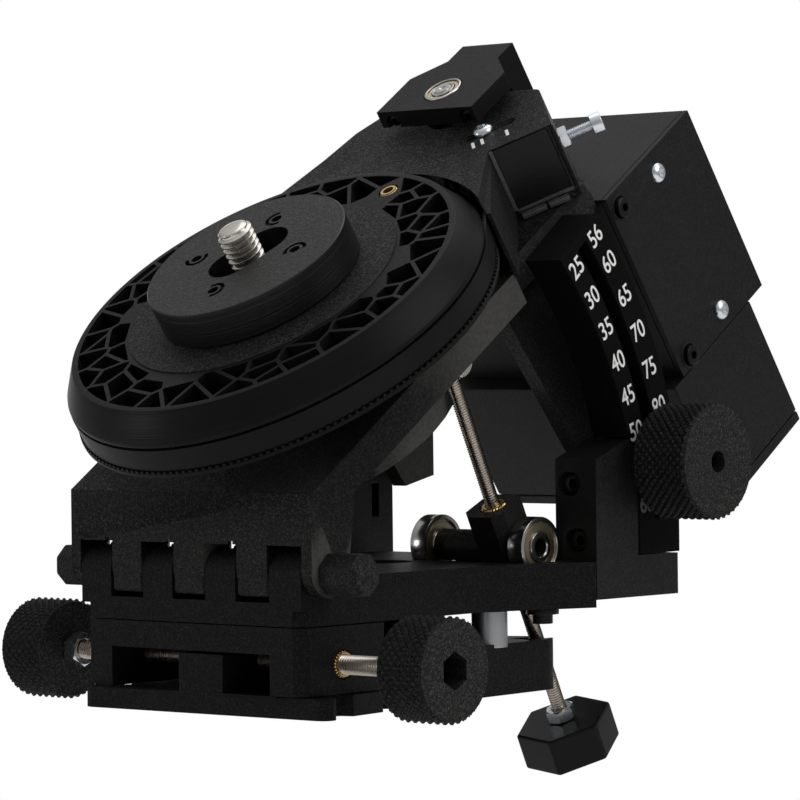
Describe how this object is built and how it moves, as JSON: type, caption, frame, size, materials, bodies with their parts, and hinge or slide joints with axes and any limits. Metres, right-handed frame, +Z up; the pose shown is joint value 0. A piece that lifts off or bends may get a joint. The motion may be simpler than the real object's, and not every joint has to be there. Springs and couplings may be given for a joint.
{
  "type": "alt azimuth mount",
  "caption": "3-D printed alt azimuth wedge with fine azimuth and altitude screws, a latitude arc and a belt-driven camera disc, made to stand on a tripod.",
  "frame": {"origin": "on the tripod face, 18 mm in front of the azimuth axis", "axes": "+Z up, parallel to the azimuth axis, +X along the altitude hinge to the clamp knob's side, -Y to the hinge edge"},
  "size_m": [0.1485, 0.2224, 0.1983],
  "materials": {
    "black_print": "matte black printed plastic with fine layer lines",
    "black_cover": "smoother black printed plastic covers",
    "belt_rubber": "black toothed rubber belt",
    "black_steel": "black oxide socket screws",
    "zinc": "bright zinc plated nuts and screws",
    "nickel_steel": "plain threaded steel rod",
    "bearing_steel": "ground bearing rings",
    "brass": "knurled brass inserts",
    "aluminium": "plain machined aluminium"
  },
  "bodies": {
    "base": {"azimuth_base": "black_print", "tripod_insert": "nickel_steel", "azimuth_bolt": "zinc", "azimuth_washer": "zinc", "azimuth_lock_nut": "zinc"},
    "azimuth_head": {"azimuth_block": "black_print", "hinge_plate": "black_print", "hinge_pin": "nickel_steel", "hinge_cap_left": "black_print", "hinge_cap_right": "black_print", "clamp_bracket": "black_cover", "bracket_screw_1": "black_steel", "bracket_screw_2": "black_steel", "left_upright": "black_cover", "latitude_arc": "black_cover", "azimuth_insert_right": "brass", "azimuth_insert_left": "brass", "trunnion_bearing_left": "bearing_steel", "trunnion_bearing_right": "bearing_steel", "plate_screw": "black_steel"},
    "azimuth_rod_right": {"azimuth_screw_right": "nickel_steel"},
    "azimuth_grip_right": {"azimuth_knob_right": "black_print", "azimuth_jam_nut_right": "zinc"},
    "azimuth_rod_left": {"azimuth_screw_left": "nickel_steel"},
    "azimuth_grip_left": {"azimuth_knob_left": "black_print", "azimuth_jam_nut_left": "zinc"},
    "trunnion": {"altitude_trunnion": "black_print", "trunnion_insert": "brass"},
    "altitude_rod": {"altitude_screw": "nickel_steel", "altitude_pivot_barrel": "nickel_steel"},
    "altitude_grip": {"altitude_knob": "black_cover", "altitude_lock_nut": "zinc"},
    "altitude_plate": {"tilt_frame": "black_print", "electronics_box": "black_cover", "electronics_cover": "black_cover", "cover_cap_screw_1": "black_steel", "cover_button_screw_2": "zinc", "cover_cap_screw_3": "black_steel", "cover_button_screw_4": "zinc", "battery_box": "black_cover", "battery_lid": "black_cover", "top_bracket": "black_cover", "drive_bearing": "bearing_steel", "drive_belt": "belt_rubber", "polar_bearing_lower": "bearing_steel", "polar_bearing_upper": "bearing_steel", "tension_nut": "zinc"},
    "camera_disc": {"camera_disc": "black_print", "disc_insert": "brass", "camera_puck": "black_print", "polar_shaft": "nickel_steel"},
    "camera_stud": {"camera_screw": "nickel_steel"},
    "drive": {"drive_pulley": "aluminium", "drive_shaft": "nickel_steel"},
    "clamp": {"clamp_knob": "black_print", "clamp_screw": "nickel_steel"},
    "motor_carriage": {"drive_motor": "black_cover", "tension_lock_screw": "zinc"},
    "tension_adjuster": {"tension_screw": "zinc"}
  },
  "joints": [
    {"name": "azimuth_turn", "type": "hinge", "parent": "base", "child": "azimuth_head", "pos_m": [0, 0.018, 0.02], "axis": [0, 0, 1], "range_deg": [-3, 9]},
    {"name": "azimuth_screw_right_feed", "type": "slide", "parent": "azimuth_head", "child": "azimuth_rod_right", "axis": [-1, 0, 0], "range_m": [-0.003, 0.009]},
    {"name": "azimuth_knob_right_turn", "type": "hinge", "parent": "azimuth_rod_right", "child": "azimuth_grip_right", "pos_m": [0, -0.039, 0.015], "axis": [-1, 0, 0], "range_deg": [-1340, 4025]},
    {"name": "azimuth_screw_left_feed", "type": "slide", "parent": "azimuth_head", "child": "azimuth_rod_left", "axis": [-1, 0, 0], "range_m": [-0.003, 0.009]},
    {"name": "azimuth_knob_left_turn", "type": "hinge", "parent": "azimuth_rod_left", "child": "azimuth_grip_left", "pos_m": [0, -0.039, 0.015], "axis": [-1, 0, 0], "range_deg": [-1340, 4025]},
    {"name": "altitude_tilt", "type": "hinge", "parent": "azimuth_head", "child": "altitude_plate", "pos_m": [0, -0.047, 0.038], "axis": [1, 0, 0], "range_deg": [-5.7, 4]},
    {"name": "trunnion_swing", "type": "hinge", "parent": "azimuth_head", "child": "trunnion", "pos_m": [0, 0.037, 0.041], "axis": [1, 0, 0], "range_deg": [-2.21, 1.6]},
    {"name": "altitude_screw_feed", "type": "slide", "parent": "trunnion", "child": "altitude_rod", "axis": [0, -0.4305, 0.9026], "range_m": [-0.0077, 0.0054]},
    {"name": "altitude_knob_turn", "type": "hinge", "parent": "altitude_rod", "child": "altitude_grip", "pos_m": [0.028, 0.037, 0.041], "axis": [0, -0.4305, 0.9026], "range_deg": [-3920, 2760]},
    {"name": "polar_turn", "type": "hinge", "parent": "altitude_plate", "child": "camera_disc", "pos_m": [0, -0.02243, 0.10403], "axis": [0, -0.5736, 0.8192], "continuous": true},
    {"name": "camera_stud_slide", "type": "slide", "parent": "camera_disc", "child": "camera_stud", "axis": [0.3907, 0.754, 0.528], "range_m": [-0.005, 0.007]},
    {"name": "drive_turn", "type": "hinge", "parent": "altitude_plate", "child": "drive", "pos_m": [0, 0.05129, 0.15565], "axis": [0, -0.5736, 0.8192], "continuous": true},
    {"name": "clamp_knob_turn", "type": "hinge", "parent": "altitude_plate", "child": "clamp", "pos_m": [0.056, 0.07018, 0.06291], "axis": [1, 0, 0], "range_deg": [0, 720]},
    {"name": "motor_carriage_slide", "type": "slide", "parent": "altitude_plate", "child": "motor_carriage", "axis": [0.7431, 0.5481, 0.3838], "range_m": [-0.0021, 0.0021]},
    {"name": "tension_screw_turn", "type": "hinge", "parent": "altitude_plate", "child": "tension_adjuster", "pos_m": [0.03499, 0.05229, 0.14903], "axis": [0.7431, 0.5481, 0.3838], "range_deg": [-1530, 1530]}
  ],
  "couplings": [
    {"joint": "azimuth_turn", "follows": "azimuth_knob_right_turn", "ratio": 0.0022338},
    {"joint": "azimuth_screw_right_feed", "follows": "azimuth_knob_right_turn", "m_per_rad": 0.00012732},
    {"joint": "azimuth_screw_left_feed", "follows": "azimuth_knob_right_turn", "m_per_rad": 0.00012732},
    {"joint": "azimuth_knob_left_turn", "follows": "azimuth_knob_right_turn", "ratio": 1},
    {"joint": "altitude_tilt", "follows": "altitude_knob_turn", "ratio": 0.001445},
    {"joint": "altitude_screw_feed", "follows": "altitude_knob_turn", "m_per_rad": 0.00011141},
    {"joint": "trunnion_swing", "follows": "altitude_knob_turn", "ratio": 0.00055921},
    {"joint": "drive_turn", "follows": "polar_turn", "ratio": 9.2},
    {"joint": "tension_screw_turn", "follows": "motor_carriage_slide", "rad_per_m": 12566}
  ]
}
